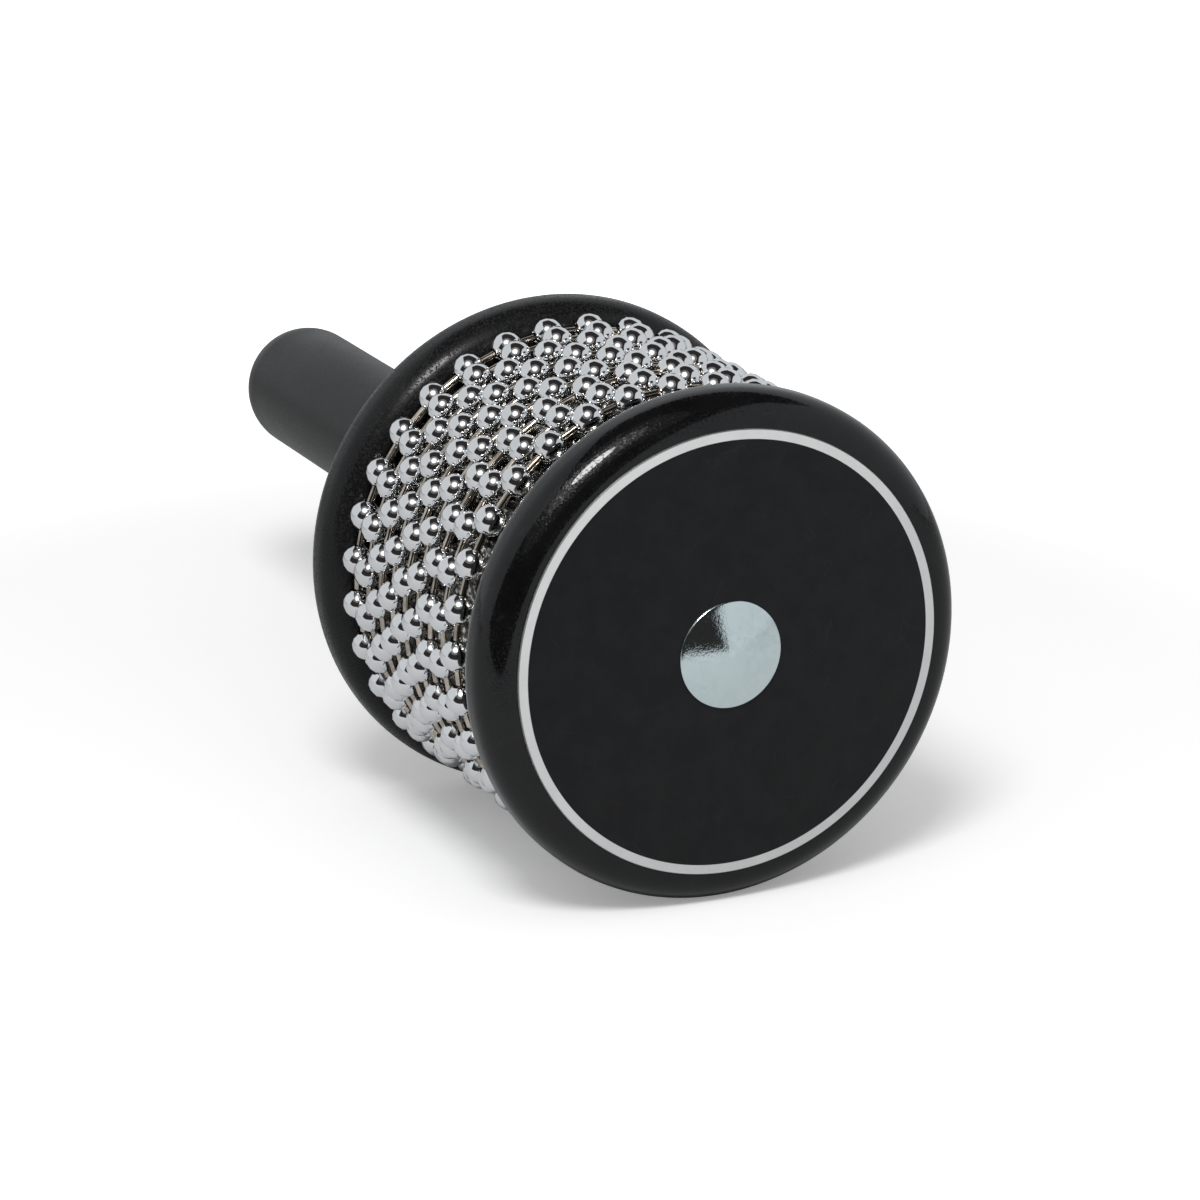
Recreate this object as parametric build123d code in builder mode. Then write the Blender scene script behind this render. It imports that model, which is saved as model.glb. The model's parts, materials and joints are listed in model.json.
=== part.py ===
from build123d import *
from math import cos, pi, sin, sqrt
import os

# A hand cabasa lying on the rims of its two end discs. The drum's axis runs along X,
# with the capped front disc towards +X and the handle towards -X. The origin lies on
# the surface below the middle of the overall length. All sizes are in millimetres.

# End discs
disc_radius = 50.8
disc_thickness = 14.0
disc_edge_radius = 6.3
seat_depth = 1.5

# Face plate on the front disc
plate_radius = 44.1
plate_thickness = 0.6
plate_edge = 0.2

# Drum between the discs
drum_width = 61.4
sleeve_radius = 42.9
sleeve_wall = 0.6

# Ball chains round the drum
ball_diameter = 6.0
ball_wall = 0.4
ball_pitch = 9.0
pin_diameter = 1.5
pin_head_thickness = 0.8
pin_head_lip = 0.15
bare_strip = 6.0

# Turn of each chain in shares of a ball pitch, from the front chain to the rear one
chain_turns = (0.10, 0.45, 0.45, 0.95, 0.25, 0.75, 0.10, 0.60, 0.50)

# Clamping bolt
bolt_diameter = 9.5
head_diameter = 21.4
head_height = 2.4
head_edge_height = 1.1
head_edge_round = 0.6
neck_length = 5.0
thread_length = 25.0
bolt_point = 1.0

# Handle and the threaded insert in its end
handle_diameter = 27.0
handle_length = 135.0
handle_mouth_round = 1.0
insert_diameter = 16.0
insert_length = 30.0

# Clearances
bolt_clearance = 0.4
neck_clearance = 0.15
thread_clearance = 0.05
insert_clearance = 0.05
sleeve_clearance = 0.05
seat_clearance = 0.15
chain_slack = 0.4
chain_gap = 0.1
chain_end_gap = 0.2
pin_clearance = 0.1
pin_play = 0.15

# Stations along the axis, from the bolt's head to the handle's end
overall_length = head_height + plate_thickness + 2 * disc_thickness + drum_width + handle_length
plate_face = overall_length / 2 - head_height
front_face = plate_face - plate_thickness
front_inner = front_face - disc_thickness
rear_inner = front_inner - drum_width
rear_face = rear_inner - disc_thickness

# Chain sizes that follow from the drum and the ball
ball_radius = ball_diameter / 2
pin_radius = pin_diameter / 2
ring_radius = sleeve_radius + chain_slack + ball_radius
ball_count = round(2 * pi * ring_radius / ball_pitch)
pitch_angle = 360 / ball_count
half_pitch = pi / ball_count
ball_spacing = 2 * ring_radius * sin(half_pitch)
link_ring_radius = ring_radius * cos(half_pitch)
chain_step = ball_diameter + chain_gap
chain_count = int((drum_width - bare_strip - chain_end_gap) // chain_step)
rear_chain = rear_inner + chain_end_gap + ball_radius

# The pins stand at half a pitch to the balls' holes, which are wide enough for that slant
hole_radius = pin_radius + ball_radius * sin(half_pitch) + pin_clearance
pin_head_radius = hole_radius + pin_head_lip
cavity_radius = ball_radius - ball_wall
pin_head_seat = sqrt((cavity_radius - pin_play) ** 2 - pin_head_radius**2)
pin_shank = ball_spacing - 2 * pin_head_seat

# Planes and axis of the drum
drum_axis = Axis((0, 0, disc_radius), (1, 0, 0))
lathe_plane = Plane(origin=(0, 0, disc_radius), x_dir=(1, 0, 0), z_dir=(0, -1, 0))


def across(x):
    """Plane square to the drum's axis at x, facing +X, with its own x along +Y."""
    return Plane(origin=(x, 0, disc_radius), x_dir=(0, 1, 0), z_dir=(1, 0, 0))


def save(builder, name):
    """Label a finished piece and write its file."""
    builder.part.label = name
    export_step(builder.part, f"parts/{name}.step")


os.makedirs("parts", exist_ok=True)

# Front disc, with rounded rims, a seat for the drum and a square pocket for the bolt's neck
with BuildPart() as front_disc:
    with BuildSketch(across(front_inner)):
        Circle(disc_radius)
    extrude(amount=disc_thickness)
    fillet(front_disc.edges().filter_by(GeomType.CIRCLE), radius=disc_edge_radius)
    with BuildSketch(across(front_inner)):
        Circle(sleeve_radius + seat_clearance)
    extrude(amount=seat_depth, mode=Mode.SUBTRACT)
    with BuildSketch(across(front_inner)):
        Circle(bolt_diameter / 2 + bolt_clearance)
    extrude(amount=disc_thickness, mode=Mode.SUBTRACT)
    with BuildSketch(across(front_face - neck_length)):
        Rectangle(bolt_diameter + 2 * neck_clearance, bolt_diameter + 2 * neck_clearance)
    extrude(amount=neck_length, mode=Mode.SUBTRACT)
save(front_disc, "front_disc")

# Rear disc, the same blank turned round, with a plain bolt hole
with BuildPart() as rear_disc:
    with BuildSketch(across(rear_face)):
        Circle(disc_radius)
    extrude(amount=disc_thickness)
    fillet(rear_disc.edges().filter_by(GeomType.CIRCLE), radius=disc_edge_radius)
    with BuildSketch(across(rear_inner - seat_depth)):
        Circle(sleeve_radius + seat_clearance)
    extrude(amount=seat_depth, mode=Mode.SUBTRACT)
    with BuildSketch(across(rear_face)):
        Circle(bolt_diameter / 2 + bolt_clearance)
    extrude(amount=disc_thickness, mode=Mode.SUBTRACT)
save(rear_disc, "rear_disc")

# Thin round plate on the front disc, with its outer edge broken
with BuildPart() as face_plate:
    with BuildSketch(across(front_face)):
        Circle(plate_radius)
        Circle(bolt_diameter / sqrt(2) + bolt_clearance, mode=Mode.SUBTRACT)
    extrude(amount=plate_thickness)
    rim = face_plate.faces().sort_by(Axis.X)[-1].edges().sort_by(SortBy.RADIUS)[-1]
    chamfer(rim, length=plate_edge)
save(face_plate, "face_plate")

# Turned core that fills the sleeve and seats in both discs
with BuildPart() as drum_core:
    with BuildSketch(across(rear_inner - seat_depth)):
        Circle(sleeve_radius - sleeve_wall - sleeve_clearance)
        Circle(bolt_diameter / 2 + bolt_clearance, mode=Mode.SUBTRACT)
    extrude(amount=drum_width + 2 * seat_depth)
save(drum_core, "drum_core")

# Sheet-metal sleeve round the core, its ends hidden in the discs' seats
with BuildPart() as drum_sleeve:
    with BuildSketch(across(rear_inner - seat_depth)):
        Circle(sleeve_radius)
        Circle(sleeve_radius - sleeve_wall, mode=Mode.SUBTRACT)
    extrude(amount=drum_width + 2 * seat_depth)
save(drum_sleeve, "drum_sleeve")

# Bolt with a low domed head, a square neck and a plain shank that ends in the handle
with BuildPart() as clamp_bolt:
    with BuildSketch(lathe_plane):
        with BuildLine():
            apex = (plate_face + head_height, 0)
            corner = (plate_face + head_edge_height, head_diameter / 2)
            TangentArc(apex, corner, tangent=(0, 1))
            Polyline(corner, (plate_face, head_diameter / 2), (plate_face, 0), apex)
        head_profile = make_face()
        dome_edge = head_profile.vertices().group_by(Axis.Y)[-1].sort_by(Axis.X)[-1]
        fillet(dome_edge, radius=head_edge_round)
    revolve(axis=drum_axis)
    with BuildSketch(across(front_face - neck_length)):
        Rectangle(bolt_diameter, bolt_diameter)
    extrude(amount=neck_length + plate_thickness)
    with BuildSketch(across(rear_face - thread_length)):
        Circle(bolt_diameter / 2)
    extrude(amount=front_face - neck_length - rear_face + thread_length)
    chamfer(clamp_bolt.faces().sort_by(Axis.X)[0].edges(), length=bolt_point)
save(clamp_bolt, "clamp_bolt")

# Threaded insert in the handle's mouth, bored to the bolt
with BuildPart() as handle_insert:
    with BuildSketch(across(rear_face - insert_length)):
        Circle(insert_diameter / 2)
        Circle(bolt_diameter / 2 + thread_clearance, mode=Mode.SUBTRACT)
    extrude(amount=insert_length)
save(handle_insert, "handle_insert")

# Handle, a plain barrel with a hemispherical end and a blind hole for the insert
with BuildPart() as handle:
    barrel_end = rear_face - handle_length + handle_diameter / 2
    with BuildSketch(across(barrel_end)):
        Circle(handle_diameter / 2)
    extrude(amount=rear_face - barrel_end)
    with Locations((barrel_end, 0, disc_radius)):
        Sphere(handle_diameter / 2)
    mouth = handle.faces().sort_by(Axis.X)[-1]
    fillet(mouth.edges(), radius=handle_mouth_round)
    with BuildSketch(across(rear_face - insert_length)):
        Circle(insert_diameter / 2 + insert_clearance)
    extrude(amount=insert_length, mode=Mode.SUBTRACT)
save(handle, "handle")

# One hollow ball, with a hole at each end of its Z axis
with BuildPart() as ball:
    Sphere(ball_radius)
    Sphere(cavity_radius, mode=Mode.SUBTRACT)
    Cylinder(hole_radius, ball_diameter, mode=Mode.SUBTRACT)

# One link pin along Z, whose two heads are caught inside neighbouring balls
with BuildPart() as link:
    Cylinder(pin_radius, pin_shank)
    for end, align in ((pin_shank / 2, Align.MIN), (-pin_shank / 2, Align.MAX)):
        with Locations((0, 0, end)):
            Cylinder(pin_head_radius, pin_head_thickness, align=(Align.CENTER, Align.CENTER, align))

# Closed chains, each a ring of balls and a ring of pins
for number in range(1, chain_count + 1):
    place = across(rear_chain + (chain_count - number) * chain_step)
    turn = pitch_angle * chain_turns[(number - 1) % len(chain_turns)]
    with BuildPart(place) as chain_balls:
        with PolarLocations(ring_radius, ball_count, start_angle=turn):
            add(ball.part, rotation=(90, 0, 0))
    save(chain_balls, f"chain_{number}_balls")
    with BuildPart(place) as chain_links:
        with PolarLocations(link_ring_radius, ball_count, start_angle=turn + pitch_angle / 2):
            add(link.part, rotation=(90, 0, 0))
    save(chain_links, f"chain_{number}_links")

print(f"{chain_count} chains of {ball_count} balls, overall {overall_length:.1f} mm")
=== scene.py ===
"""Looks of a hand cabasa: modelled pieces, finishes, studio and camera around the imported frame.

The drum's axis runs along X, with the capped front disc towards +X and the handle towards -X.
Lengths are metres and angles are degrees unless a name says otherwise.
"""

import json
import logging
import math
from collections.abc import Callable, Iterable
from dataclasses import dataclass
from enum import Enum
from typing import Any

import bmesh
import bpy
from mathutils import Matrix, Vector

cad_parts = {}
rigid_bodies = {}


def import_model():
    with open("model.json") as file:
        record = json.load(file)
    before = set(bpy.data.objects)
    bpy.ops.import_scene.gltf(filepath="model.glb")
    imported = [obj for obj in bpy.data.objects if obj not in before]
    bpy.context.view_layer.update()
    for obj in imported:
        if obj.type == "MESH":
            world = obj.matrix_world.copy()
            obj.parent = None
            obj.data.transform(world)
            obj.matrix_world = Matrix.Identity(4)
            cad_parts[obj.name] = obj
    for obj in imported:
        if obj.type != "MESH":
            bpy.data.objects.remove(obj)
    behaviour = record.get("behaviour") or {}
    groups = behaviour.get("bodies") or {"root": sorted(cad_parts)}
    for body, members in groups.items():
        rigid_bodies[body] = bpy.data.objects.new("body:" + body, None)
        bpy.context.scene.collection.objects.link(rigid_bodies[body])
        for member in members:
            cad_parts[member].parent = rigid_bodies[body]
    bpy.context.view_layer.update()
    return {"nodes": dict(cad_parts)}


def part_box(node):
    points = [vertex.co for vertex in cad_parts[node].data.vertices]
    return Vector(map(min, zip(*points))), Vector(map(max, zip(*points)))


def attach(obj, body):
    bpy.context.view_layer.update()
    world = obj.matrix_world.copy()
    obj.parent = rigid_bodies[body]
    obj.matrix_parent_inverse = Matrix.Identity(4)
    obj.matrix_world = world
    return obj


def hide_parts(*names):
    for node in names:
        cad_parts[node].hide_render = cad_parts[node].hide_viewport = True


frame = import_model()

LOG = logging.getLogger("cabasa")
DRUM_BODY = "drum"
MM = 0.001

# Places nearer than this lie in one plane, and points nearer than this are one point.
IN_PLANE = 0.01 * MM
SAME_POINT = 0.002 * MM

# Turn of each loop in shares of a ball pitch, from the front loop to the rear one.
CHAIN_TURNS = (0.10, 0.45, 0.45, 0.95, 0.25, 0.75, 0.10, 0.60, 0.50)

Colour = tuple[float, float, float]
Range = tuple[float, float]
Socket = bpy.types.NodeSocket
Material = bpy.types.Material

RISING: Range = (0.0, 1.0)
FALLING: Range = (1.0, 0.0)

# Most of the heights that a grain takes.
GRAIN_SPAN: Range = (0.3, 0.7)


class Slot(Enum):
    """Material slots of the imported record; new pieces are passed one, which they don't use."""

    DISC = "disc_lacquer"
    PLATE = "plate_black"
    SLEEVE = "sleeve_steel"
    BOLT = "bolt_zinc"
    HANDLE = "handle_black"
    BALL = "ball_chrome"
    PIN = "pin_nickel"


class Side(Enum):
    """Which of the two ways along its axis a cap or an end faces."""

    FRONT = 1.0
    REAR = -1.0


class Element(Enum):
    """Kinds of mesh element, with Blender's select mode for each."""

    FACES = "FACE"
    EDGES = "EDGE"
    VERTS = "VERT"


def cleared_tree(owner: Material | bpy.types.World) -> bpy.types.NodeTree:
    """Clear the nodes of a material or world.

    Args:
        owner: Material or world that the nodes belong to.

    Returns:
        Its empty node tree.
    """
    owner.use_nodes = True
    owner.node_tree.nodes.clear()
    return owner.node_tree


class Wiring:
    """Short calls for laying out one node tree."""

    def __init__(self, tree: bpy.types.NodeTree) -> None:
        """Keep the tree that the calls add to."""
        self.tree = tree

    def feed(self, node: bpy.types.Node, values: dict[Any, Any]) -> None:
        """Set or link inputs of a node.

        Args:
            node: Node of this tree.
            values: Values by socket name or number. A value that is itself a socket is linked.
        """
        for key, value in values.items():
            if isinstance(value, Socket):
                self.tree.links.new(value, node.inputs[key])
            else:
                node.inputs[key].default_value = value

    def add(self, kind: str, settings: dict[Any, Any] | None = None) -> bpy.types.Node:
        """Add a node and set or link what is named.

        Args:
            kind: Blender's type name of the node.
            settings: Values by property name, or for its inputs as feed takes them.

        Returns:
            The new node.
        """
        node = self.tree.nodes.new(kind)
        inputs = {}
        for key, value in (settings or {}).items():
            if isinstance(key, str) and key not in node.inputs and hasattr(node, key):
                setattr(node, key, value)
            else:
                inputs[key] = value
        self.feed(node, inputs)
        return node

    def math(self, operation: str, first: Any, second: Any) -> Socket:
        """Combine two numbers or sockets with a Math node and return its output."""
        return self.add("ShaderNodeMath", {"operation": operation, 0: first, 1: second}).outputs[0]

    def plus(self, value: Any, mask: Socket, amount: float) -> Socket:
        """Add an amount to a value where a mask is 1."""
        return self.math("ADD", value, self.math("MULTIPLY", mask, amount))

    def length(self, vector: Socket) -> Socket:
        """Return the length of a vector."""
        return self.add("ShaderNodeVectorMath", {"operation": "LENGTH", 0: vector}).outputs["Value"]

    def remap(self, value: Socket, source: Range, target: Range = RISING) -> Socket:
        """Map a value smoothly from one range to another, held at both ends."""
        ends = {1: source[0], 2: source[1], 3: target[0], 4: target[1], "interpolation_type": "SMOOTHSTEP"}
        return self.add("ShaderNodeMapRange", {0: value, **ends}).outputs[0]

    def step(self, value: Socket, at: float, softness: float, target: Range = RISING) -> Socket:
        """Go from one end of the target to the other at a value, softly to both sides of it."""
        return self.remap(value, (at - softness, at + softness), target)

    def blend(self, share: Socket, first: Any, second: Any) -> Socket:
        """Mix two colours, or sockets of colour, by a share from 0 to 1."""
        ends = [(*end, 1.0) if isinstance(end, tuple) else end for end in (first, second)]
        return self.add("ShaderNodeMix", {"data_type": "RGBA", 0: share, 6: ends[0], 7: ends[1]}).outputs[2]

    def noise(self, place: Socket, scale: Any, detail: float = 3.0, roughness: float = 0.5) -> Socket:
        """Return the Fac output of a noise texture of so many cycles a metre."""
        settings = {"Vector": place, "Scale": scale, "Detail": detail, "Roughness": roughness}
        return self.add("ShaderNodeTexNoise", settings).outputs[0]

    def bump(self, height: Socket, depth: float, strength: float = 1.0) -> Socket:
        """Return a normal bent by a height of 0 to 1 that stands for so many metres."""
        settings = {"Height": height, "Distance": depth, "Strength": strength}
        return self.add("ShaderNodeBump", settings).outputs[0]

    def object_place(self) -> Socket:
        """Return the piece's own coordinates, which are the frame's."""
        return self.add("ShaderNodeTexCoord").outputs["Object"]


def new_group(
    name: str, inputs: dict[str, float | None], outputs: Iterable[str],
) -> tuple[bpy.types.NodeTree, Wiring, Any, bpy.types.Node]:
    """Start a shader node group.

    Args:
        name: Name of the group.
        inputs: Input names with their default values; None makes a vector input.
        outputs: Names of the outputs, all numbers.

    Returns:
        The group, its wiring, the sockets that it is given and its output node.
    """
    group = bpy.data.node_groups.new(name, "ShaderNodeTree")
    for label, value in inputs.items():
        kind = "NodeSocketVector" if value is None else "NodeSocketFloat"
        socket = group.interface.new_socket(label, in_out="INPUT", socket_type=kind)
        if value is not None:
            socket.default_value = value
    for label in outputs:
        group.interface.new_socket(label, in_out="OUTPUT", socket_type="NodeSocketFloat")
    wiring = Wiring(group)
    return group, wiring, wiring.add("NodeGroupInput").outputs, wiring.add("NodeGroupOutput")


@dataclass
class SurfaceEffects:
    """Node groups that several finishes share, and the sizes of their patterns."""

    axis_height: float
    mottle_scale: float = 0.045
    mottled: Range = (0.35, 0.65)
    warp_scale: float = 60.0
    warp_reach: float = 0.012
    line_width: Range = (0.004, 0.016)
    break_scale: float = 170.0
    unbroken: Range = (0.54, 0.62)
    rub_scale: float = 38.0
    rubbed: Range = (0.52, 0.72)

    def __post_init__(self) -> None:
        """Build each group once."""
        self._make_grain()
        self._make_scuffs()
        self._make_axis_place()

    def _make_grain(self) -> None:
        """Make fine paint or mould grain, and a slow mottle of the same surface."""
        inputs = {"Place": None, "Scale": 2000.0}
        self.grain, wiring, given, out = new_group("fine_grain", inputs, ("Height", "Mottle"))
        fine = wiring.noise(given["Place"], given["Scale"], detail=3.0, roughness=0.6)
        slow_scale = wiring.math("MULTIPLY", given["Scale"], self.mottle_scale)
        slow = wiring.noise(given["Place"], slow_scale, detail=5.0, roughness=0.65)
        wiring.feed(out, {"Height": fine, "Mottle": wiring.remap(slow, self.mottled)})

    def _make_scuffs(self) -> None:
        """Make thin broken lines of handling wear, and soft rubbed patches round them."""
        inputs = {"Place": None, "Scale": 90.0}
        self.scuffs, wiring, given, out = new_group("handling_scuffs", inputs, ("Lines", "Rub"))
        place = given["Place"]
        waves = {"Vector": place, "Scale": self.warp_scale, "Detail": 2.0}
        warp = wiring.add("ShaderNodeTexNoise", waves).outputs["Color"]
        reach = {"operation": "SCALE", 0: warp, "Scale": self.warp_reach}
        shift = wiring.add("ShaderNodeVectorMath", reach).outputs[0]
        warped = wiring.add("ShaderNodeVectorMath", {0: place, 1: shift}).outputs[0]
        cells = {"feature": "DISTANCE_TO_EDGE", "Vector": warped, "Scale": given["Scale"]}
        edge = wiring.add("ShaderNodeTexVoronoi", cells).outputs["Distance"]
        line = wiring.remap(edge, self.line_width, FALLING)
        whole = wiring.remap(wiring.noise(place, self.break_scale), self.unbroken)
        rub = wiring.noise(place, self.rub_scale, detail=4.0, roughness=0.6)
        lines = wiring.math("MULTIPLY", line, whole)
        wiring.feed(out, {"Lines": lines, "Rub": wiring.remap(rub, self.rubbed)})

    def _make_axis_place(self) -> None:
        """Measure the distance from the drum's axis."""
        self.axis_place, wiring, given, out = new_group("round_the_axis", {"Place": None}, ("Radius",))
        parts = wiring.add("ShaderNodeSeparateXYZ", {0: given["Place"]}).outputs
        up = wiring.math("SUBTRACT", parts["Z"], self.axis_height)
        flat = wiring.add("ShaderNodeCombineXYZ", {"Y": parts["Y"], "Z": up}).outputs[0]
        wiring.feed(out, {"Radius": wiring.length(flat)})


class Paintwork(Wiring):
    """One material under construction, with its shader and the coordinates that it reads."""

    def __init__(self, name: str, effects: SurfaceEffects) -> None:
        """Start a material with one Principled shader.

        Args:
            name: Name of the material.
            effects: Node groups that finishes share.
        """
        self.material = bpy.data.materials.new(name)
        super().__init__(cleared_tree(self.material))
        self.effects = effects
        self.shader = self.add("ShaderNodeBsdfPrincipled")
        self.add("ShaderNodeOutputMaterial", {"Surface": self.shader.outputs[0]})
        self.place = self.object_place()

    def _use(self, group: bpy.types.NodeTree, **values: float) -> Any:
        """Place a shared effect with its own values and return its outputs."""
        return self.add("ShaderNodeGroup", {"node_tree": group, "Place": self.place, **values}).outputs

    def grain(self, scale: float) -> Any:
        """Return Height and Mottle of the shared grain, at so many cycles a metre."""
        return self._use(self.effects.grain, Scale=scale)

    def scuffs(self, scale: float) -> Any:
        """Return Lines and Rub of the shared scuffs, at so many cells a metre."""
        return self._use(self.effects.scuffs, Scale=scale)

    def radius(self) -> Socket:
        """Return the distance from the drum's axis."""
        return self._use(self.effects.axis_place)["Radius"]


class Finish:
    """One finish of the object, which makes one material."""

    name: str

    def make(self, effects: SurfaceEffects) -> Material:
        """Build the material.

        Args:
            effects: Node groups that finishes share.

        Returns:
            The finished material.
        """
        paint = Paintwork(self.name, effects)
        paint.feed(paint.shader, self.sockets(paint))
        return paint.material

    def sockets(self, paint: Paintwork) -> dict[str, Any]:
        """Lay out the finish.

        Args:
            paint: Material under construction.

        Returns:
            Values or sockets by the names of the shader's inputs.
        """
        raise NotImplementedError


@dataclass(frozen=True)
class DiscLacquer(Finish):
    """Black lacquer over turned wood, with a fine orange peel."""

    name: str
    grain_depth: float
    roughness: Range
    specular: float
    glossy: Range = (0.44, 0.6)
    pimpled: Range = (0.53, 0.68)
    dark: Colour = (0.0034, 0.0035, 0.0039)
    worn: Colour = (0.0056, 0.0057, 0.0062)
    mark: Colour = (0.02, 0.02, 0.021)
    mark_share: float = 0.4

    def sockets(self, paint: Paintwork) -> dict[str, Any]:
        """Lay out the lacquer.

        Args:
            paint: Material under construction.

        Returns:
            What the shader's inputs get.
        """
        grain = paint.grain(scale=2200.0)
        scuffs = paint.scuffs(scale=70.0)
        base = paint.blend(grain["Mottle"], self.dark, self.worn)
        marks = paint.math("MULTIPLY", scuffs["Lines"], self.mark_share)
        rough = paint.remap(grain["Height"], self.glossy, self.roughness)
        pimples = paint.remap(grain["Height"], self.pimpled)
        return {
            "Base Color": paint.blend(marks, base, self.mark),
            "Roughness": paint.plus(rough, scuffs["Rub"], amount=0.03),
            "Normal": paint.bump(pimples, self.grain_depth),
            "Specular IOR Level": self.specular,
        }


@dataclass(frozen=True)
class PlatePrint(Finish):
    """Thin metal plate, painted matte black, with a plain white ring printed near its edge."""

    edge_radius: float
    name: str = "plate_print"
    ring_inner: float = 42.19 * MM
    ring_outer: float = 43.98 * MM
    soft_edge: float = 0.06 * MM
    bare_edge: float = 0.06 * MM
    roughness: Range = (0.42, 0.58)
    specular: float = 0.22
    black: Colour = (0.0082, 0.0085, 0.0095)
    grey: Colour = (0.0112, 0.0115, 0.0125)
    mark: Colour = (0.03, 0.03, 0.031)
    mark_share: float = 0.15
    white: Colour = (0.71, 0.72, 0.72)
    thin_white: Colour = (0.6745, 0.684, 0.684)
    bare_metal: Colour = (0.78, 0.78, 0.77)

    def sockets(self, paint: Paintwork) -> dict[str, Any]:
        """Lay out the paint, the printed ring and the bare edge.

        Args:
            paint: Material under construction.

        Returns:
            What the shader's inputs get.
        """
        radius = paint.radius()
        grain = paint.grain(scale=3600.0)
        scuffs = paint.scuffs(scale=60.0)
        inside = paint.step(radius, self.ring_inner, self.soft_edge)
        outside = paint.step(radius, self.ring_outer, self.soft_edge, FALLING)
        ring = paint.math("MULTIPLY", inside, outside)
        bare = paint.step(radius, self.edge_radius - self.bare_edge, self.soft_edge / 2)
        base = paint.blend(grain["Mottle"], self.black, self.grey)
        marks = paint.math("MULTIPLY", scuffs["Lines"], self.mark_share)
        base = paint.blend(marks, base, self.mark)
        ink = paint.blend(grain["Mottle"], self.white, self.thin_white)
        base = paint.blend(ring, base, ink)
        height = paint.math("ADD", grain["Height"], ring)
        return {
            "Base Color": paint.blend(bare, base, self.bare_metal),
            "Roughness": paint.remap(grain["Height"], GRAIN_SPAN, self.roughness),
            "Metallic": bare,
            "Normal": paint.bump(height, depth=0.02 * MM, strength=0.6),
            "Specular IOR Level": self.specular,
        }


@dataclass(frozen=True)
class BoltZinc(Finish):
    """Bright zinc plating with a faint spangle, a fine grain and handling marks."""

    name: str = "bolt_zinc"
    light: Colour = (0.76, 0.87, 0.88)
    deep: Colour = (0.68, 0.79, 0.81)
    cell_scale: float = 900.0
    roughness: Range = (0.04, 0.08)

    def sockets(self, paint: Paintwork) -> dict[str, Any]:
        """Lay out the zinc plating.

        Args:
            paint: Material under construction.

        Returns:
            What the shader's inputs get.
        """
        grain = paint.grain(scale=1700.0)
        scuffs = paint.scuffs(scale=160.0)
        cells = {"Vector": paint.place, "Scale": self.cell_scale}
        spangle = paint.add("ShaderNodeTexVoronoi", cells).outputs["Color"]
        share = paint.add("ShaderNodeSeparateColor", {0: spangle}).outputs[0]
        depth = paint.math("MULTIPLY", share, grain["Mottle"])
        rough = paint.remap(share, RISING, self.roughness)
        return {
            "Base Color": paint.blend(depth, self.light, self.deep),
            "Roughness": paint.plus(rough, scuffs["Lines"], amount=0.1),
            "Normal": paint.bump(grain["Height"], depth=0.026 * MM),
            "Metallic": 1.0,
        }


@dataclass(frozen=True)
class SleeveSteel(Finish):
    """Embossed stainless sheet, bright on its raised dashes, with a painted shade in its hollows: a
    near-black base colour there.
    """

    skin: Range
    name: str = "sleeve_steel"
    bright: Colour = (0.80, 0.78, 0.74)
    # Near-black base colour painted into the hollows as shade.
    stained: Colour = (0.085, 0.079, 0.070)
    cleaned: Range = (0.34, 0.78)
    clean_share: Range = (0.6, 1.0)
    roughness: Range = (0.3, 0.12)

    def sockets(self, paint: Paintwork) -> dict[str, Any]:
        """Lay out the steel by its height in the skin, painting shade into its hollows.

        Args:
            paint: Material under construction.

        Returns:
            What the shader's inputs get.
        """
        relief = paint.remap(paint.radius(), self.skin)
        grain = paint.grain(scale=2400.0)
        scuffs = paint.scuffs(scale=220.0)
        # Painted shade: the low skin, and crests in dim mottle patches, take the near-black colour.
        crest = paint.remap(relief, self.cleaned)
        crest_mottle = paint.remap(grain["Mottle"], RISING, self.clean_share)
        share = paint.math("MULTIPLY", crest, crest_mottle)
        rough = paint.remap(relief, RISING, self.roughness)
        return {
            "Base Color": paint.blend(share, self.stained, self.bright),
            "Roughness": paint.plus(rough, scuffs["Lines"], amount=0.2),
            "Normal": paint.bump(grain["Height"], depth=0.015 * MM, strength=0.5),
            "Metallic": 1.0,
        }


@dataclass(frozen=True)
class BeadChrome(Finish):
    """Bright chrome plating with rubbed patches and hair scratches."""

    name: str = "bead_chrome"
    bright: Colour = (0.90, 0.91, 0.92)
    rubbed: Colour = (0.84, 0.845, 0.85)
    roughness: float = 0.035

    def sockets(self, paint: Paintwork) -> dict[str, Any]:
        """Lay out the chrome.

        Args:
            paint: Material under construction.

        Returns:
            What the shader's inputs get.
        """
        scuffs = paint.scuffs(scale=420.0)
        rough = paint.plus(self.roughness, scuffs["Rub"], amount=0.03)
        return {
            "Base Color": paint.blend(scuffs["Rub"], self.bright, self.rubbed),
            "Roughness": paint.plus(rough, scuffs["Lines"], amount=0.15),
            "Metallic": 1.0,
        }


@dataclass(frozen=True)
class PinNickel(Finish):
    """Drawn wire with a warm nickel plating."""

    name: str = "pin_nickel"
    light: Colour = (0.70, 0.63, 0.555)
    dark: Colour = (0.36, 0.31, 0.26)
    roughness: Range = (0.06, 0.14)

    def sockets(self, paint: Paintwork) -> dict[str, Any]:
        """Lay out the nickel.

        Args:
            paint: Material under construction.

        Returns:
            What the shader's inputs get.
        """
        grain = paint.grain(scale=5200.0)
        return {
            "Base Color": paint.blend(grain["Mottle"], self.light, self.dark),
            "Roughness": paint.remap(grain["Height"], GRAIN_SPAN, self.roughness),
            "Metallic": 1.0,
        }


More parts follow.
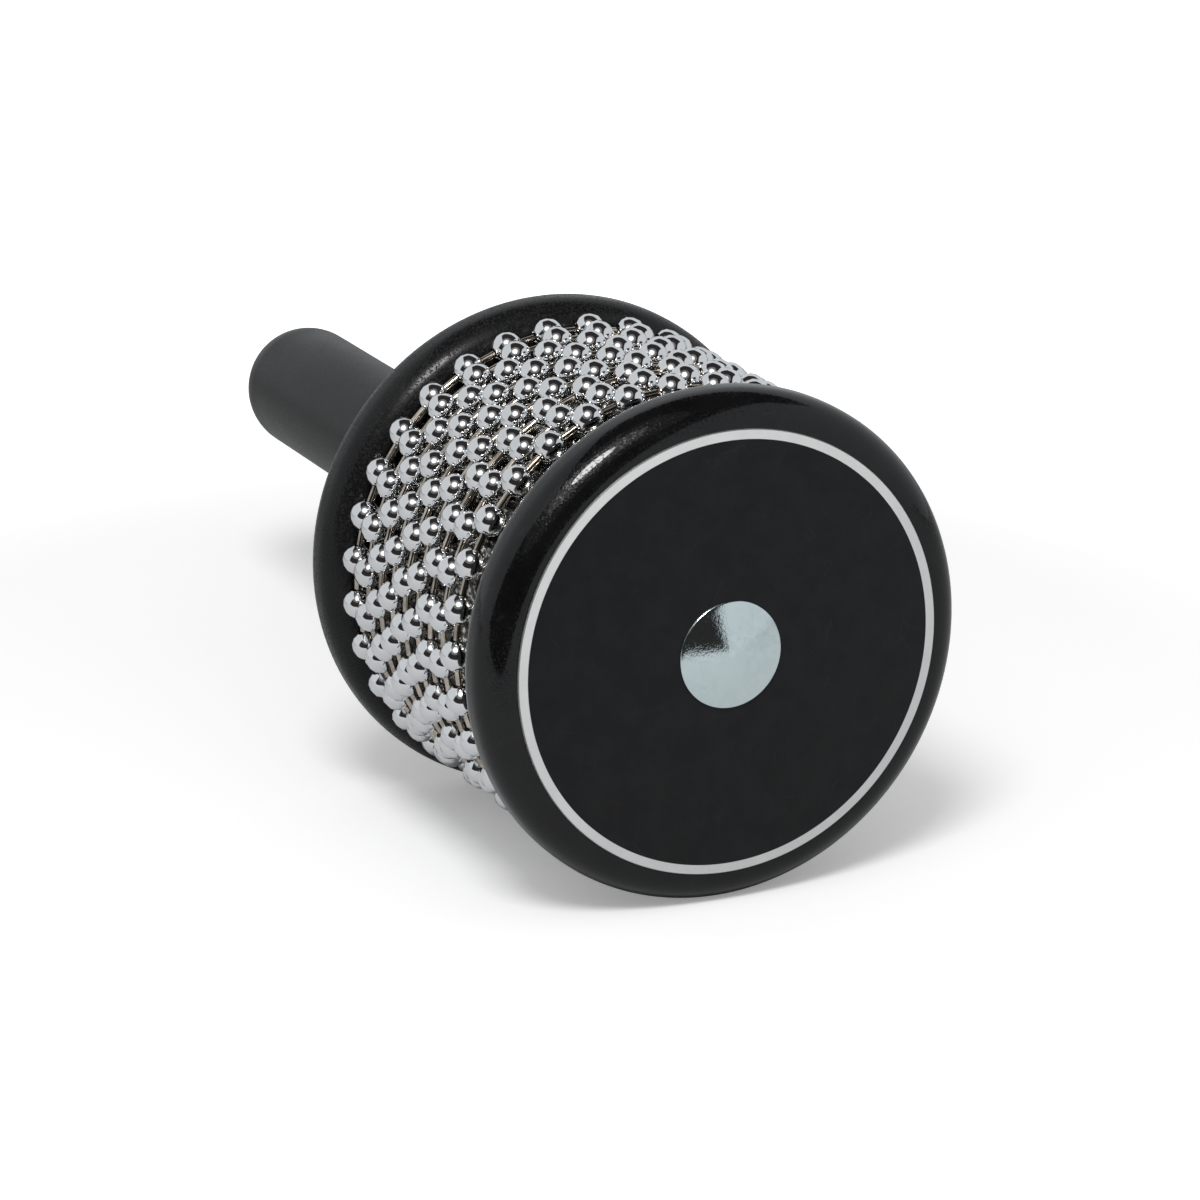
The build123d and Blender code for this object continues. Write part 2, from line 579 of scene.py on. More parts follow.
@dataclass(frozen=True)
class HandlePlastic(Finish):
    """Matte black moulded plastic with a fine spark-eroded grain."""

    name: str = "handle_plastic"
    dark: Colour = (0.0045, 0.0045, 0.0047)
    light: Colour = (0.0065, 0.0065, 0.0067)
    roughness: Range = (0.32, 0.44)
    specular: float = 0.42

    def sockets(self, paint: Paintwork) -> dict[str, Any]:
        """Lay out the plastic, smoother where it is rubbed.

        Args:
            paint: Material under construction.

        Returns:
            What the shader's inputs get.
        """
        grain = paint.grain(scale=3000.0)
        scuffs = paint.scuffs(scale=55.0)
        rough = paint.remap(grain["Height"], GRAIN_SPAN, self.roughness)
        return {
            "Base Color": paint.blend(grain["Mottle"], self.dark, self.light),
            "Roughness": paint.plus(rough, scuffs["Rub"], amount=-0.06),
            "Normal": paint.bump(grain["Height"], depth=0.02 * MM, strength=0.5),
            "Specular IOR Level": self.specular,
        }


@dataclass(frozen=True)
class CoreWood(Finish):
    """Plain turned softwood with growth rings across its axis."""

    name: str = "core_wood"
    early: Colour = (0.47, 0.31, 0.17)
    late: Colour = (0.30, 0.18, 0.09)
    ring_scale: float = 60.0
    ring_distortion: float = 4.0
    roughness: Range = (0.55, 0.75)

    def sockets(self, paint: Paintwork) -> dict[str, Any]:
        """Lay out the wood.

        Args:
            paint: Material under construction.

        Returns:
            What the shader's inputs get.
        """
        grain = paint.grain(scale=1500.0)
        waves = {"wave_type": "RINGS", "rings_direction": "X", "Vector": paint.place}
        sizes = {"Scale": self.ring_scale, "Distortion": self.ring_distortion}
        rings = paint.add("ShaderNodeTexWave", {**waves, **sizes}).outputs["Fac"]
        return {
            "Base Color": paint.blend(rings, self.early, self.late),
            "Roughness": paint.remap(grain["Height"], GRAIN_SPAN, self.roughness),
            "Normal": paint.bump(grain["Height"], depth=0.05 * MM, strength=0.4),
        }


@dataclass(frozen=True)
class InsertBrass(Finish):
    """Turned brass with fine tool marks."""

    name: str = "insert_brass"
    bright: Colour = (0.76, 0.56, 0.25)
    dull: Colour = (0.58, 0.41, 0.17)
    tool_scale: float = 700.0
    roughness: Range = (0.22, 0.36)

    def sockets(self, paint: Paintwork) -> dict[str, Any]:
        """Lay out the brass.

        Args:
            paint: Material under construction.

        Returns:
            What the shader's inputs get.
        """
        grain = paint.grain(scale=3200.0)
        waves = {"wave_type": "BANDS", "bands_direction": "X", "Vector": paint.place}
        turning = paint.add("ShaderNodeTexWave", {**waves, "Scale": self.tool_scale}).outputs["Fac"]
        return {
            "Base Color": paint.blend(grain["Mottle"], self.bright, self.dull),
            "Roughness": paint.remap(grain["Height"], GRAIN_SPAN, self.roughness),
            "Normal": paint.bump(turning, depth=0.01 * MM),
            "Metallic": 1.0,
        }


@dataclass(frozen=True)
class TurnedBox:
    """Where a turned shape lies: its ends along X, its radius and the height of its axis."""

    rear: float
    front: float
    radius: float
    axis: float

    @classmethod
    def of(cls, node: str) -> "TurnedBox":
        """Read the box of a node at rest."""
        low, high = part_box(node)
        return cls(low.x, high.x, (high.z - low.z) / 2, (low.z + high.z) / 2)


def deselect_all() -> None:
    """Leave no object selected."""
    for item in bpy.context.view_layer.objects:
        item.select_set(False)


class Workpiece:
    """One new piece on the bench: a primitive that is shaped in edit mode, then named and placed."""

    CAP_CORNERS = 8
    CAP_FACING = 0.99

    def __init__(self, thing: bpy.types.Object) -> None:
        """Keep the object and make its place part of its mesh.

        Args:
            thing: Primitive that the piece starts from.
        """
        self.thing = thing
        self.activate()
        bpy.ops.object.transform_apply(location=True, rotation=True, scale=True)

    @classmethod
    def rod(cls, box: TurnedBox, sides: int) -> "Workpiece":
        """Start from a cylinder along X.

        Args:
            box: Ends, radius and axis of the cylinder.
            sides: Number of sides.

        Returns:
            The new workpiece.
        """
        deselect_all()
        bpy.ops.mesh.primitive_cylinder_add(
            vertices=sides, radius=box.radius, depth=box.front - box.rear, end_fill_type="NGON",
            location=((box.rear + box.front) / 2, 0.0, box.axis), rotation=(0.0, math.pi / 2, 0.0),
        )
        return cls(bpy.context.object)

    @classmethod
    def globe(
        cls, radius: float, centre: Vector, sides: int, rings: int, turn: tuple[float, float, float],
    ) -> "Workpiece":
        """Start from a sphere.

        Args:
            radius: Radius of the sphere.
            centre: Its centre.
            sides: Number of sides round its poles.
            rings: Number of rings from pole to pole.
            turn: Turns in radians from a sphere with its poles along Z.

        Returns:
            The new workpiece.
        """
        deselect_all()
        bpy.ops.mesh.primitive_uv_sphere_add(
            segments=sides, ring_count=rings, radius=radius, location=centre, rotation=turn,
        )
        return cls(bpy.context.object)

    def activate(self) -> None:
        """Make this the only selected object and the active one."""
        deselect_all()
        self.thing.select_set(True)
        bpy.context.view_layer.objects.active = self.thing

    def edit(self) -> None:
        """Go into edit mode on this piece alone."""
        self.activate()
        bpy.ops.object.mode_set(mode="EDIT")

    def done(self) -> None:
        """Leave edit mode."""
        bpy.ops.object.mode_set(mode="OBJECT")

    def pick(self, kind: Element, test: Callable[[Any], bool]) -> None:
        """Select the elements of one kind that pass a test, in edit mode.

        Args:
            kind: Kind of the elements.
            test: What has to hold for an element.
        """
        bpy.ops.mesh.select_mode(type=kind.value)
        bpy.ops.mesh.select_all(action="DESELECT")
        mesh = bmesh.from_edit_mesh(self.thing.data)
        picked = [item for item in getattr(mesh, kind.name.lower()) if test(item)]
        for item in picked:
            item.select_set(True)
        mesh.select_flush_mode()
        bmesh.update_edit_mesh(self.thing.data)

    def pick_cap(self, side: Side) -> None:
        """Select the flat many-sided end that faces one way along X."""
        many, flat = self.CAP_CORNERS, self.CAP_FACING
        self.pick(Element.FACES, lambda face: len(face.verts) > many and face.normal.x * side.value > flat)

    def pick_circle(self, x: float) -> None:
        """Select the edges that lie in the plane square to the axis at x."""
        self.pick(Element.EDGES, lambda edge: all(abs(vert.co.x - x) < IN_PLANE for vert in edge.verts))

    def pick_openings(self) -> None:
        """Select the edges of open rims."""
        self.pick(Element.EDGES, lambda edge: edge.is_boundary)

    def bevel(self, width: float, segments: int) -> None:
        """Round the selected edges."""
        bpy.ops.mesh.bevel(offset=width, segments=segments, profile=0.5, affect="EDGES", clamp_overlap=False)

    def inset(self, width: float, rise: float = 0.0) -> None:
        """Inset the selected faces, and raise them by a depth."""
        bpy.ops.mesh.inset(thickness=width, depth=rise, use_even_offset=True)

    def extrude(self, x: float = 0.0, z: float = 0.0) -> None:
        """Extrude what is selected along X or Z."""
        bpy.ops.mesh.extrude_region_move(TRANSFORM_OT_translate={"value": (x, 0.0, z)})

    def extrude_scaled(self, scale: tuple[float, float, float], **about: Vector) -> None:
        """Extrude what is selected and scale the new part about its middle, or a center_override."""
        bpy.ops.mesh.extrude_region_move()
        bpy.ops.transform.resize(value=scale, **about)

    def bridge_openings(self) -> None:
        """Join the open rims with a wall of faces."""
        self.pick_openings()
        bpy.ops.mesh.bridge_edge_loops()

    def tidy(self) -> None:
        """Merge doubles, point all faces outwards and leave edit mode."""
        bpy.ops.mesh.select_all(action="SELECT")
        bpy.ops.mesh.remove_doubles(threshold=SAME_POINT)
        bpy.ops.mesh.normals_make_consistent(inside=False)
        self.done()

    def modify(self, kind: str, **settings: Any) -> None:
        """Add a modifier, set it and apply it.

        Args:
            kind: Blender's type name of the modifier.
            settings: Its properties by name.
        """
        self.activate()
        modifier = self.thing.modifiers.new(kind.lower(), kind)
        for label, value in settings.items():
            setattr(modifier, label, value)
        bpy.ops.object.modifier_apply(modifier=modifier.name)

    def unite(self, other: "Workpiece") -> None:
        """Join another workpiece into this one as one closed solid."""
        self.modify("BOOLEAN", operation="UNION", solver="EXACT", object=other.thing)
        bpy.data.objects.remove(other.thing)

    def finish(
        self, name: str, node: str, slot: Slot, material: Material, smooth_angle: float,
        body: str = DRUM_BODY,
    ) -> None:
        """Name the piece, shade it, dress it and seat it on its body.

        Args:
            name: Name of the piece.
            node: CAD node that it stands for.
            slot: Material slot of the record; not used.
            material: Finish of the piece.
            smooth_angle: Largest angle that is shaded smooth.
            body: CAD body that it rides on.
        """
        self.activate()
        bpy.ops.object.shade_smooth_by_angle(angle=math.radians(smooth_angle))
        self.thing.name = name
        self.thing.data.name = name
        self.thing.data.materials.clear()
        self.thing.data.materials.append(material)
        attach(self.thing, body)
        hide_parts(node)
        LOG.info("%s: %d faces on %s", name, len(self.thing.data.polygons), body)


@dataclass
class EndDisc:
    """Thick turned disc with rounded rims, a seat for the drum and a bolt hole."""

    node: str
    inner: Side
    rounding: float = 6.3 * MM
    seat_radius: float = 43.05 * MM
    seat_depth: float = 1.5 * MM
    bolt_hole: float = 5.15 * MM
    sides: int = 192

    def build(self, finish: Material) -> None:
        """Model the disc on its node's box and dress it.

        Args:
            finish: Lacquer of the disc.
        """
        box = TurnedBox.of(self.node)
        outer = Side(-self.inner.value)
        flat_radius = box.radius - self.rounding
        disc = Workpiece.rod(box, self.sides)
        disc.edit()
        disc.pick(Element.EDGES, lambda edge: abs(edge.verts[0].co.x - edge.verts[1].co.x) < IN_PLANE)
        disc.bevel(self.rounding, segments=14)
        disc.pick_cap(self.inner)
        disc.inset(flat_radius - self.seat_radius)
        disc.extrude(x=-self.inner.value * self.seat_depth)
        disc.inset(self.seat_radius - self.bolt_hole)
        bpy.ops.mesh.delete(type="FACE")
        disc.pick_cap(outer)
        disc.inset(flat_radius - self.bolt_hole)
        bpy.ops.mesh.delete(type="FACE")
        disc.bridge_openings()
        disc.tidy()
        disc.finish(f"{self.node}_turned", self.node, Slot.DISC, finish, smooth_angle=35.0)


@dataclass
class FacePlate:
    """Thin round plate on the front disc with a broken edge and a bolt hole."""

    node: str = "face_plate"
    hole_radius: float = 7.12 * MM
    edge: float = 0.2 * MM
    sides: int = 192

    def build(self, finish: Material) -> None:
        """Model the plate on its node's box and dress it.

        Args:
            finish: Painted and printed finish.
        """
        box = TurnedBox.of(self.node)
        plate = Workpiece.rod(box, self.sides)
        plate.edit()
        plate.pick_circle(box.front)
        plate.bevel(self.edge, segments=2)
        for side, rim in ((Side.FRONT, box.radius - self.edge), (Side.REAR, box.radius)):
            plate.pick_cap(side)
            plate.inset(rim - self.hole_radius)
            bpy.ops.mesh.delete(type="FACE")
        plate.bridge_openings()
        plate.tidy()
        plate.finish("face_plate_printed", self.node, Slot.PLATE, finish, smooth_angle=30.0)


@dataclass
class ClampBolt:
    """Carriage bolt: low domed head, square neck and plain shank."""

    node: str = "clamp_bolt"
    head_radius: float = 10.7 * MM
    head_height: float = 2.4 * MM
    edge_height: float = 0.45 * MM
    edge_round: float = 0.3 * MM
    crown_power: float = 1.5
    crown_rings: int = 12
    head_sides: int = 128
    neck_width: float = 9.5 * MM
    neck_length: float = 5.6 * MM
    shank_radius: float = 4.72 * MM
    shank_sides: int = 64
    point: float = 1.0 * MM

    def build(self, finish: Material) -> None:
        """Model head, neck and shank, join them and dress them.

        Args:
            finish: Zinc plating.
        """
        box = TurnedBox.of(self.node)
        seat = box.front - self.head_height
        head = self._head(seat, box.axis)
        deselect_all()
        bpy.ops.mesh.primitive_cube_add(size=1.0, location=(seat - self.neck_length / 2, 0.0, box.axis))
        bpy.context.object.scale = (self.neck_length + self.edge_round, self.neck_width, self.neck_width)
        neck = Workpiece(bpy.context.object)
        shaft = TurnedBox(box.rear, seat - self.point, self.shank_radius, box.axis)
        shank = Workpiece.rod(shaft, self.shank_sides)
        shank.edit()
        shank.pick_circle(box.rear)
        shank.bevel(self.point, segments=1)
        shank.done()
        head.unite(neck)
        head.unite(shank)
        head.edit()
        head.tidy()
        head.finish("clamp_bolt_plated", self.node, Slot.BOLT, finish, smooth_angle=30.0)

    def _head(self, seat: float, axis: float) -> Workpiece:
        """Model the head: a short rod whose front is inset in rings that follow the crown.

        Args:
            seat: Place of its flat underside.
            axis: Height of the bolt's axis.

        Returns:
            The head.
        """
        blank = TurnedBox(seat, seat + self.edge_height, self.head_radius, axis)
        head = Workpiece.rod(blank, self.head_sides)
        crown = self.head_height - self.edge_height

        def rise(radius: float) -> float:
            """Height of the low crown above its own edge at a radius."""
            return crown * (1.0 - (radius / self.head_radius) ** self.crown_power)

        head.edit()
        head.pick_cap(Side.FRONT)
        step = self.head_radius / (self.crown_rings + 0.5)
        at = self.head_radius
        for _ in range(self.crown_rings):
            head.inset(step, rise(at - step) - rise(at))
            at -= step
        bpy.ops.mesh.poke(offset=rise(0.0) - rise(at))
        head.pick_circle(seat + self.edge_height)
        head.bevel(self.edge_round, segments=5)
        head.tidy()
        return head


@dataclass
class DrumSleeve:
    """Stainless tube with an embossed skin."""

    node: str = "drum_sleeve"
    wall: float = 0.6 * MM
    sides: int = 600
    rings: int = 128
    relief: float = 0.3 * MM
    dash_width: float = 0.75 * MM
    dash_stretch: float = 2.4

    @property
    def skin(self) -> Range:
        """Lowest and highest radius of the embossed skin, from the node's box."""
        radius = TurnedBox.of(self.node).radius
        return radius - self.relief / 2, radius + self.relief / 2

    def build(self, finish: Material) -> None:
        """Model the tube, emboss its skin and dress it.

        Args:
            finish: Steel of the sleeve.
        """
        box = TurnedBox.of(self.node)
        deselect_all()
        bpy.ops.mesh.primitive_circle_add(
            vertices=self.sides, radius=box.radius,
            location=(box.rear, 0.0, box.axis), rotation=(0.0, math.pi / 2, 0.0),
        )
        tube = Workpiece(bpy.context.object)
        tube.edit()
        bpy.ops.mesh.select_all(action="SELECT")
        for _ in range(self.rings):
            tube.extrude(x=(box.front - box.rear) / self.rings)
        tube.tidy()
        self._emboss(tube)
        tube.edit()
        tube.pick_openings()
        shrink = (box.radius - self.wall) / box.radius
        tube.extrude_scaled((1.0, shrink, shrink), center_override=Vector((0.0, 0.0, box.axis)))
        tube.bridge_openings()
        tube.tidy()
        tube.finish("drum_sleeve_embossed", self.node, Slot.SLEEVE, finish, smooth_angle=60.0)

    def _emboss(self, tube: Workpiece) -> None:
        """Press dashes along the axis into the skin.

        Args:
            tube: Plain tube without its inner wall.
        """
        pattern = bpy.data.textures.new("dashes", "VORONOI")
        pattern.noise_scale = self.dash_width
        along = bpy.data.objects.new("dash_direction", None)
        bpy.context.scene.collection.objects.link(along)
        along.scale = (self.dash_stretch, 1.0, 1.0)
        bpy.context.view_layer.update()
        tube.modify(
            "DISPLACE", texture=pattern, texture_coords="OBJECT", texture_coords_object=along,
            strength=-self.relief, mid_level=0.5,
        )
        bpy.data.objects.remove(along)


@dataclass
class Handle:
    """Straight moulded barrel with a hemispherical end and a hole for its insert."""

    node: str = "handle"
    mouth_round: float = 1.0 * MM
    mouth_rim: float = 0.1 * MM
    insert_radius: float = 8.05 * MM
    insert_depth: float = 30.0 * MM
    sides: int = 128

    def build(self, finish: Material) -> None:
        """Model the handle on its node's box and dress it.

        Args:
            finish: Moulded plastic.
        """
        box = TurnedBox.of(self.node)
        dome = box.rear + box.radius
        centre = Vector((dome, 0.0, box.axis))
        grip = Workpiece.globe(box.radius, centre, self.sides, self.sides // 2, (0.0, math.pi / 2, 0.0))

        def at_mouth(vert: bmesh.types.BMVert) -> bool:
            """Whether a vertex lies on the outer edge of the handle's mouth."""
            from_axis = math.hypot(vert.co.y, vert.co.z - box.axis)
            return abs(vert.co.x - box.front) < IN_PLANE and from_axis > box.radius - self.mouth_rim

        grip.edit()
        grip.pick(Element.VERTS, lambda vert: vert.co.x > dome + IN_PLANE)
        bpy.ops.mesh.delete(type="VERT")
        grip.pick_openings()
        grip.extrude(x=box.front - dome)
        bpy.ops.mesh.edge_face_add()
        grip.inset(box.radius - self.insert_radius)
        grip.extrude(x=-self.insert_depth)
        grip.pick(Element.EDGES, lambda edge: all(at_mouth(vert) for vert in edge.verts))
        grip.bevel(self.mouth_round, segments=4)
        grip.tidy()
        grip.finish("handle_moulded", self.node, Slot.HANDLE, finish, smooth_angle=40.0)


@dataclass
class BallChain:
    """One closed loop of drilled balls and the pins between them."""

    number: int
    turn: float
    axis_height: float
    balls: int = 32
    ring_radius: float = 46.3 * MM
    ball_radius: float = 3.15 * MM
    ball_wall: float = 0.4 * MM
    pole_share: float = 0.99
    pin_radius: float = 0.75 * MM
    pin_shank: float = 4.9 * MM
    pin_head: float = 1.29 * MM
    pin_head_thickness: float = 0.8 * MM
    ball_sides: int = 12
    ball_rings: int = 8
    pin_sides: int = 8
    smooth_angle: float = 50.0

    @property
    def x(self) -> float:
        """Place of the loop along the axis, from its node's box."""
        box = TurnedBox.of(f"chain_{self.number}_balls")
        return (box.rear + box.front) / 2

    @property
    def pitch(self) -> float:
        """Angle from one ball to the next."""
        return 360.0 / self.balls

    def build(self, ball_finish: Material, pin_finish: Material) -> None:
        """Model one ball and one pin, repeat them round the drum and dress them.

        Args:
            ball_finish: Chrome of the balls.
            pin_finish: Plating of the pins.
        """
        body = f"chain_{self.number}"
        start = self.turn * self.pitch
        ball = self._ball()
        self._repeat(ball, start, self.ring_radius)
        ball.finish(f"{body}_beads", f"{body}_balls", Slot.BALL, ball_finish, self.smooth_angle, body)
        pin = self._pin()
        half = self.pitch / 2
        self._repeat(pin, start + half, self.ring_radius * math.cos(math.radians(half)))
        pin.finish(f"{body}_pins", f"{body}_links", Slot.PIN, pin_finish, self.smooth_angle, body)

    def _ball(self) -> Workpiece:
        """Model a drilled ball at the origin with its hole along Z.

        Returns:
            The ball.
        """
        turn = (0.0, 0.0, math.pi / self.ball_sides)
        ball = Workpiece.globe(self.ball_radius, Vector(), self.ball_sides, self.ball_rings, turn)
        ball.edit()
        ball.pick(Element.VERTS, lambda vert: abs(vert.co.z) > self.pole_share * self.ball_radius)
        bpy.ops.mesh.delete(type="VERT")
        ball.pick_openings()
        ball.extrude_scaled((1.0, 1.0, 1.0 - self.ball_wall / self.ball_radius))
        for side in Side:
            ball.pick(Element.EDGES, lambda edge: edge.is_boundary and edge.verts[0].co.z * side.value > 0.0)
            bpy.ops.mesh.edge_face_add()
        ball.tidy()
        return ball

    def _pin(self) -> Workpiece:
        """Model a pin at the origin along Z, with a head at each end.

        Returns:
            The pin.
        """
        deselect_all()
        bpy.ops.mesh.primitive_cylinder_add(
            vertices=self.pin_sides, radius=self.pin_radius, depth=self.pin_shank,
        )
        pin = Workpiece(bpy.context.object)
        spread = self.pin_head / self.pin_radius
        end = self.pin_shank / 2 - IN_PLANE
        pin.edit()
        for side in Side:
            pin.pick(Element.FACES, lambda face: face.calc_center_median().z * side.value > end)
            pin.extrude_scaled((spread, spread, 1.0))
            pin.extrude(z=side.value * self.pin_head_thickness)
        pin.tidy()
        return pin

    def _repeat(self, piece: Workpiece, start: float, radius: float) -> None:
        """Stand a piece on its ring and repeat it round the drum's axis.

        Args:
            piece: Piece modelled at the origin, along Z.
            start: Angle of the first copy, from +Y towards +Z.
            radius: Radius of the ring.
        """
        middle = Matrix.Translation((self.x, 0.0, self.axis_height))
        to_ring = middle @ Matrix.Rotation(math.radians(start), 4, "X")
        piece.thing.data.transform(to_ring @ Matrix.Translation((0.0, radius, 0.0)))
        pivot = bpy.data.objects.new("pivot", None)
        bpy.context.scene.collection.objects.link(pivot)
        centre = Matrix.Translation((0.0, 0.0, self.axis_height))
        pivot.matrix_world = centre @ Matrix.Rotation(math.radians(self.pitch), 4, "X") @ centre.inverted()
        bpy.context.view_layer.update()
        piece.modify(
            "ARRAY", count=self.balls, use_relative_offset=False, use_object_offset=True, offset_object=pivot,
        )
        bpy.data.objects.remove(pivot)


def direction(azimuth: float, elevation: float) -> Vector:
    """Unit vector from the object to a viewer; azimuth 0 looks along +Y and 90 along -X."""
    turn, lift = math.radians(azimuth), math.radians(elevation)
    return Vector((math.sin(turn) * math.cos(lift), -math.cos(turn) * math.cos(lift), math.sin(lift)))


@dataclass(frozen=True)
class Edge:
    """One straight edge of a board that reflections see.

    The axis is square to the edge, in the view's own right, up and towards-the-lens directions, and
    the board lies where a look along it has at least the given share of that axis.
    """

    axis: tuple[float, float, float]
    share: float


@dataclass(frozen=True)
class Lamp:
    """Round soft white lamp that looks at the drum."""

    name: str
    radiance: float
    half_angle: float
    distance: float
    azimuth: float = 55.0
    elevation: float = 53.0

    def build(self, target: Vector) -> None:
        """Make the lamp and aim it.

        Args:
            target: Point that the lamp looks at.
        """
        light = bpy.data.lights.new(self.name, "AREA")
        light.shape = "DISK"
        radius = self.distance * math.tan(math.radians(self.half_angle))
        light.size = 2 * radius
        light.energy = self.radiance * math.pi * math.pi * radius**2
        lamp = bpy.data.objects.new(self.name, light)
        bpy.context.scene.collection.objects.link(lamp)
        away = direction(self.azimuth, self.elevation)
        lamp.location = target + self.distance * away
        lamp.rotation_euler = away.to_track_quat("Z", "Y").to_euler()
        lamp.visible_camera = False


@dataclass
class Studio:
    """Pale table, soft lamps, surround and camera at the photographed angle."""

    view_azimuth: float = 64.06
    view_elevation: float = 17.74
    view_distance: float = 1.04293
    view_end: float = 20.0
    focal_pixels: float = 5371.0
    image_pixels: float = 1200.0
    sensor_mm: float = 36.0
    axis_pixel: tuple[float, float] = (669.65, 615.63)
    axis_depth: float = 26.364 * MM
    floor_front: float = 0.26
    floor_depth: float = 3.0
    floor_width: float = 5.0
    floor_seen: Colour = (0.90, 0.90, 0.90)
    floor_mirrored: Colour = (0.61, 0.62, 0.63)
    floor_glow: Range = (0.25, 1.0)
    floor_glow_reach: Range = (0.15, 0.4)
    backdrop: Colour = (1.0, 1.0, 1.0)
    fill: Colour = (0.40, 0.40, 0.40)
    pale: Colour = (0.60, 0.62, 0.635)
    dark: Colour = (0.026, 0.023, 0.023)
    room_elevation: float = 57.0
    room_share: float = 0.29
    board_softness: float = 0.02
    left_board: tuple[Edge, ...] = (Edge((-0.865, -0.456, -0.210), 0.0), Edge((-0.447, 0.532, -0.718), 0.0))
    right_board: tuple[Edge, ...] = (Edge((1.0, 0.0, 0.0), 0.67), Edge((0.0, -1.0, 0.0), -0.71))
    lamps: tuple[Lamp, ...] = (
        Lamp("key_lamp", radiance=23.2, half_angle=8.6, distance=1.3),
        Lamp("halo_lamp", radiance=0.8, half_angle=20.0, distance=1.32),
        Lamp("soft_lamp", radiance=0.15, half_angle=34.0, distance=1.34),
    )

    def build(self) -> None:
        """Make the camera, the lamps, the floor and the surround."""
        plate = TurnedBox.of("face_plate")
        target = Vector((plate.front - self.axis_depth, 0.0, plate.axis))
        self._camera(target)
        for lamp in self.lamps:
            lamp.build(target)
        self._floor()
        self._surround()
        bpy.context.scene.view_settings.view_transform = "Standard"

    def _camera(self, target: Vector) -> None:
        """Place the camera so that the target falls on its pixel.

        Args:
            target: Point on the drum's axis that the view was measured from.
        """
        data = bpy.data.cameras.new("view")
        data.sensor_width = self.sensor_mm
        data.lens = self.focal_pixels / self.image_pixels * self.sensor_mm
        data.clip_end = self.view_end
        camera = bpy.data.objects.new("view", data)
        bpy.context.scene.collection.objects.link(camera)
        away = direction(self.view_azimuth, self.view_elevation)
        camera.location = target + self.view_distance * away
        right = (-away).cross(Vector((0.0, 0.0, 1.0))).normalized()
        up = right.cross(-away)
        middle = self.image_pixels / 2
        aim = -away + right * ((middle - self.axis_pixel[0]) / self.focal_pixels)
        aim += up * ((self.axis_pixel[1] - middle) / self.focal_pixels)
        camera.rotation_euler = aim.to_track_quat("-Z", "Y").to_euler()
        bpy.context.scene.camera = camera

    def _floor(self) -> None:
        """Lay a pale table that looks white to the camera and keeps the object's shadow."""
        middle = direction(self.view_azimuth, 0.0) * (self.floor_front - self.floor_depth / 2)
        turn = (0.0, 0.0, math.radians(self.view_azimuth))
        deselect_all()
        bpy.ops.mesh.primitive_plane_add(size=1.0, location=middle, rotation=turn)
        bpy.context.object.scale = (self.floor_width, self.floor_depth, 1.0)
        floor = Workpiece(bpy.context.object).thing
        floor.name = "table"
        material = bpy.data.materials.new("table")
        wiring = Wiring(cleared_tree(material))
        away = wiring.length(wiring.object_place())
        seen = wiring.add("ShaderNodeLightPath").outputs["Is Camera Ray"]
        colour = wiring.blend(seen, self.floor_mirrored, self.floor_seen)
        paper = wiring.add("ShaderNodeBsdfDiffuse", {"Color": colour})
        lift = wiring.math("MULTIPLY", seen, wiring.remap(away, self.floor_glow_reach, self.floor_glow))
        glow = wiring.add("ShaderNodeEmission", {"Strength": lift})
        both = wiring.add("ShaderNodeAddShader", {0: paper.outputs[0], 1: glow.outputs[0]})
        wiring.add("ShaderNodeOutputMaterial", {"Surface": both.outputs[0]})
        floor.data.materials.append(material)

    def _surround(self) -> None:
        """Light the room: white to the camera, and in reflections pale boards round a dark room."""
        world = bpy.data.worlds.new("studio")
        bpy.context.scene.world = world
        wiring = Wiring(cleared_tree(world))
        look = wiring.add("ShaderNodeTexCoord").outputs["Generated"]
        toward = direction(self.view_azimuth, self.view_elevation)
        right = direction(self.view_azimuth + 90.0, 0.0)
        up = toward.cross(right)

        def beyond(axis: Vector, share: float) -> Socket:
            """Mask of the looks that have at least a share of an axis."""
            dot = wiring.add("ShaderNodeVectorMath", {"operation": "DOT_PRODUCT", 0: look, 1: axis})
            return wiring.step(dot.outputs["Value"], share, self.board_softness)

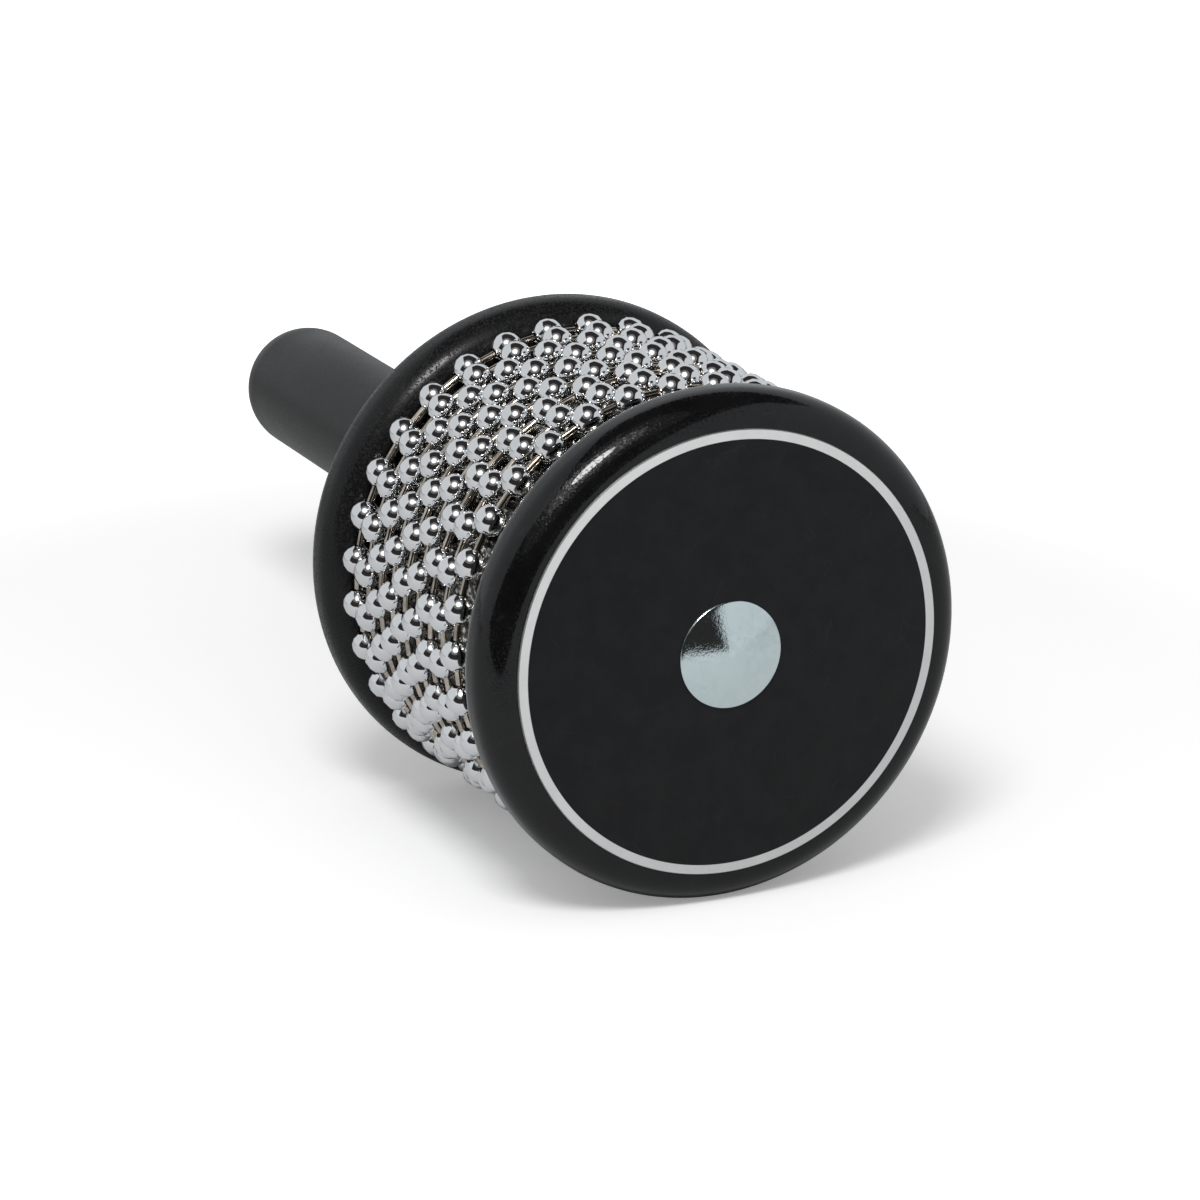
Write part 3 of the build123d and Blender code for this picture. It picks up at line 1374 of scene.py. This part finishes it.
        room = beyond(direction(self.view_azimuth, self.room_elevation), self.room_share)
        for board in (self.left_board, self.right_board):
            axes = [edge.axis[0] * right + edge.axis[1] * up + edge.axis[2] * toward for edge in board]
            masks = [beyond(axis, edge.share) for axis, edge in zip(axes, board)]
            beside = wiring.math("SUBTRACT", 1.0, wiring.math("MULTIPLY", *masks))
            room = wiring.math("MULTIPLY", room, beside)
        mirrored = wiring.blend(room, self.pale, self.dark)
        path = wiring.add("ShaderNodeLightPath").outputs
        shiny = wiring.math("MAXIMUM", path["Is Glossy Ray"], path["Is Transmission Ray"])
        colour = wiring.blend(shiny, self.fill, mirrored)
        colour = wiring.blend(path["Is Camera Ray"], colour, self.backdrop)
        back = wiring.add("ShaderNodeBackground", {"Color": colour})
        wiring.add("ShaderNodeOutputWorld", {"Surface": back.outputs[0]})


def dress_node(name: str, material: Material) -> None:
    """Give a CAD node that stays in place its finish.

    Args:
        name: Name of the node.
        material: Finish of the node.
    """
    thing = frame["nodes"][name]
    thing.data.materials.clear()
    thing.data.materials.append(material)
    LOG.info("%s: packed shape with finish %s", name, material.name)


def main() -> None:
    """Build every piece in order, then the studio."""
    logging.basicConfig(level=logging.INFO, format="%(name)s: %(message)s")
    axis_height = TurnedBox.of("front_disc").axis
    effects = SurfaceEffects(axis_height)
    front_lacquer = DiscLacquer(
        "front_lacquer", grain_depth=0.012 * MM, roughness=(0.02, 0.08), specular=0.39,
    )
    rear_lacquer = DiscLacquer(
        "rear_lacquer", grain_depth=0.04 * MM, roughness=(0.20, 0.40), specular=0.24,
        dark=(0.0070, 0.0071, 0.0075), worn=(0.0090, 0.0091, 0.0096),
    )
    EndDisc("front_disc", Side.REAR).build(front_lacquer.make(effects))
    EndDisc("rear_disc", Side.FRONT).build(rear_lacquer.make(effects))
    plate = FacePlate()
    plate.build(PlatePrint(TurnedBox.of(plate.node).radius).make(effects))
    ClampBolt().build(BoltZinc().make(effects))
    sleeve = DrumSleeve()
    sleeve.build(SleeveSteel(sleeve.skin).make(effects))
    Handle().build(HandlePlastic().make(effects))
    chrome = BeadChrome().make(effects)
    nickel = PinNickel().make(effects)
    for number, turn in enumerate(CHAIN_TURNS, start=1):
        BallChain(number, turn, axis_height).build(chrome, nickel)
    dress_node("drum_core", CoreWood().make(effects))
    dress_node("handle_insert", InsertBrass().make(effects))
    Studio().build()


if __name__ == "__main__":
    main()
